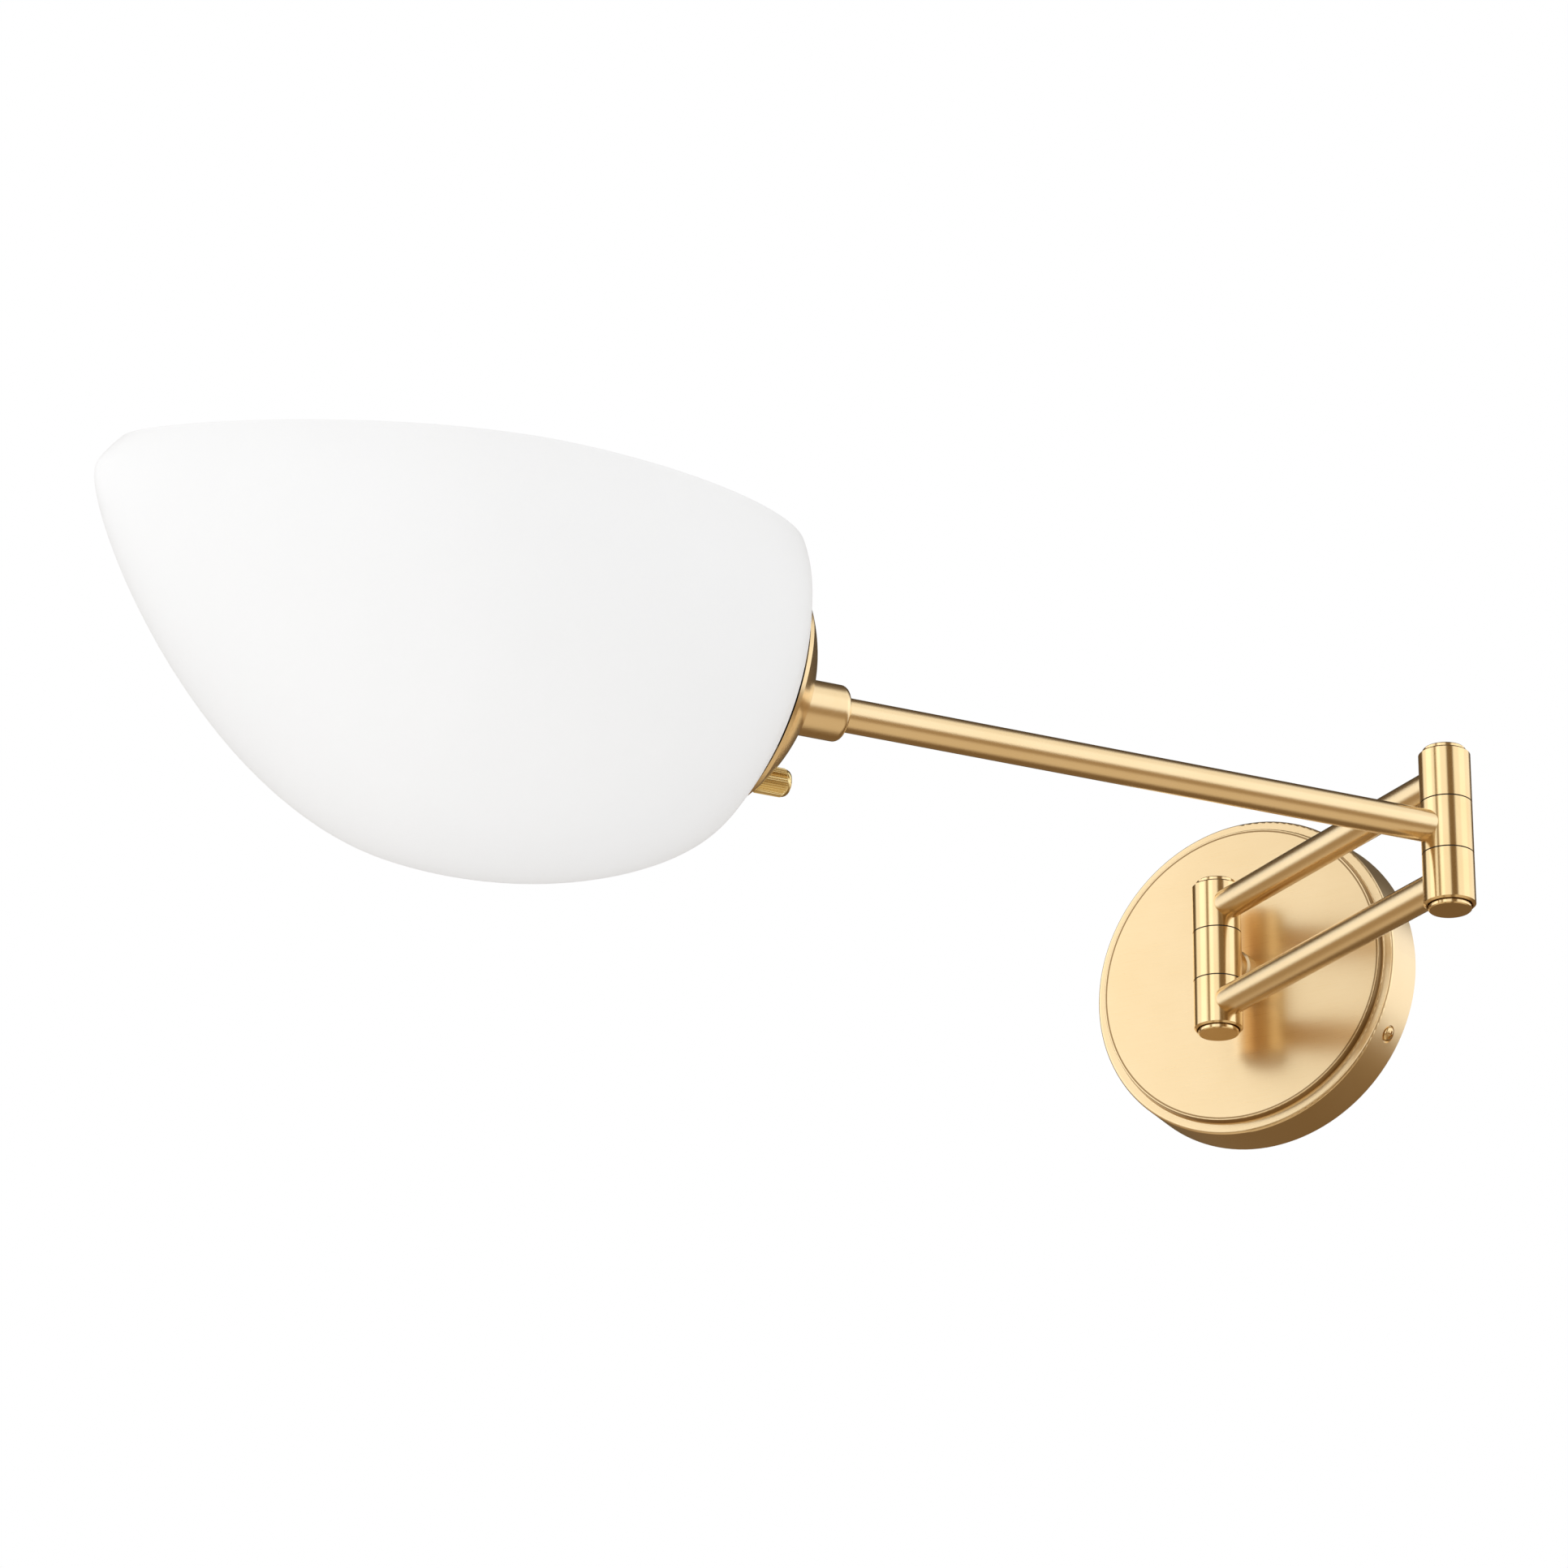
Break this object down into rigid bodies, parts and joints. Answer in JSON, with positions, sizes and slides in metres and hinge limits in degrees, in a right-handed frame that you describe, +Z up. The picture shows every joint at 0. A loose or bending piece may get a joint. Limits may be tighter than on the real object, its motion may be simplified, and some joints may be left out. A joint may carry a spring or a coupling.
{
  "type": "swing arm wall sconce",
  "caption": "Hard-wired swing arm wall sconce: round canopy, twin-tube inner arm, single outer arm and an upturned egg-shaped shade that swivels, with a knurled switch knob.",
  "frame": {"origin": "centre of the canopy on the wall plane, which is the centre of the mounting plate's slots", "axes": "+X right along the wall, +Y into the wall, +Z up; the light stands out towards -Y"},
  "size_m": [0.2922, 0.4901, 0.1313],
  "materials": {
    "satin_brass": "brushed satin, clear lacquer",
    "polished_brass": "polished, clear lacquer",
    "knob_brass": "polished, straight knurl",
    "white_enamel": "matte white powder coat",
    "dark_fibre": "matte",
    "zinc_steel": "zinc plated",
    "black_phenolic": "moulded, satin",
    "contact_brass": "stamped",
    "frosted_glass": "frosted",
    "bulb_nickel": "stamped",
    "lead_sheath": "extruded",
    "green_steel": "dyed green"
  },
  "bodies": {
    "wall_plate": {"canopy": "satin_brass", "canopy_screws": "polished_brass", "mounting_plate": "zinc_steel", "ground_screw": "green_steel", "stem": "satin_brass", "stem_washer": "zinc_steel", "stem_nut": "zinc_steel", "wall_barrel_middle": "polished_brass", "wall_pivot_pin": "zinc_steel", "wall_plug_top": "polished_brass", "wall_plug_bottom": "polished_brass", "wall_washer_upper": "dark_fibre", "wall_washer_lower": "dark_fibre"},
    "inner_arm": {"wall_barrel_upper": "polished_brass", "wall_barrel_lower": "polished_brass", "inner_tube_upper": "satin_brass", "inner_tube_lower": "satin_brass", "elbow_barrel_upper": "polished_brass", "elbow_barrel_lower": "polished_brass", "elbow_pivot_pin": "zinc_steel", "elbow_plug_top": "polished_brass", "elbow_plug_bottom": "polished_brass", "inner_cable": "lead_sheath"},
    "outer_arm": {"elbow_barrel_middle": "polished_brass", "elbow_washer_upper": "dark_fibre", "elbow_washer_lower": "dark_fibre", "outer_tube": "satin_brass", "outer_cable": "lead_sheath", "arm_nipple": "zinc_steel", "swivel_washer": "zinc_steel", "swivel_nut": "zinc_steel", "lampholder_cup": "black_phenolic", "lampholder_body": "black_phenolic", "lampholder_shell": "contact_brass", "lampholder_contact": "contact_brass", "bulb_cap": "bulb_nickel", "bulb_globe": "frosted_glass"},
    "shade_head": {"swivel_collar": "satin_brass", "shade_cap": "satin_brass", "cap_spacer": "zinc_steel", "shade": "white_enamel", "shade_clamp_washer": "zinc_steel", "shade_ring_nut": "zinc_steel", "switch_body": "black_phenolic", "switch_nut": "zinc_steel"},
    "knob": {"switch_knob": "knob_brass"}
  },
  "joints": [
    {"name": "wall_pivot", "type": "hinge", "parent": "wall_plate", "child": "inner_arm", "pos_m": [0, -0.0369, 0], "axis": [0, 0, 1], "range_deg": [-150.7, 29.3]},
    {"name": "elbow_pivot", "type": "hinge", "parent": "inner_arm", "child": "outer_arm", "pos_m": [0.12026, -0.10439, 0], "axis": [0, 0, 1], "range_deg": [-44, 236]},
    {"name": "shade_swivel", "type": "hinge", "parent": "outer_arm", "child": "shade_head", "pos_m": [-0.01855, -0.30115, 0], "axis": [-0.5764, -0.8171, 0], "range_deg": [-150, 150]},
    {"name": "switch_turn", "type": "hinge", "parent": "shade_head", "child": "knob", "pos_m": [-0.03612, -0.28533, -0.01632], "axis": [-0.5764, -0.8171, 0], "continuous": true}
  ]
}
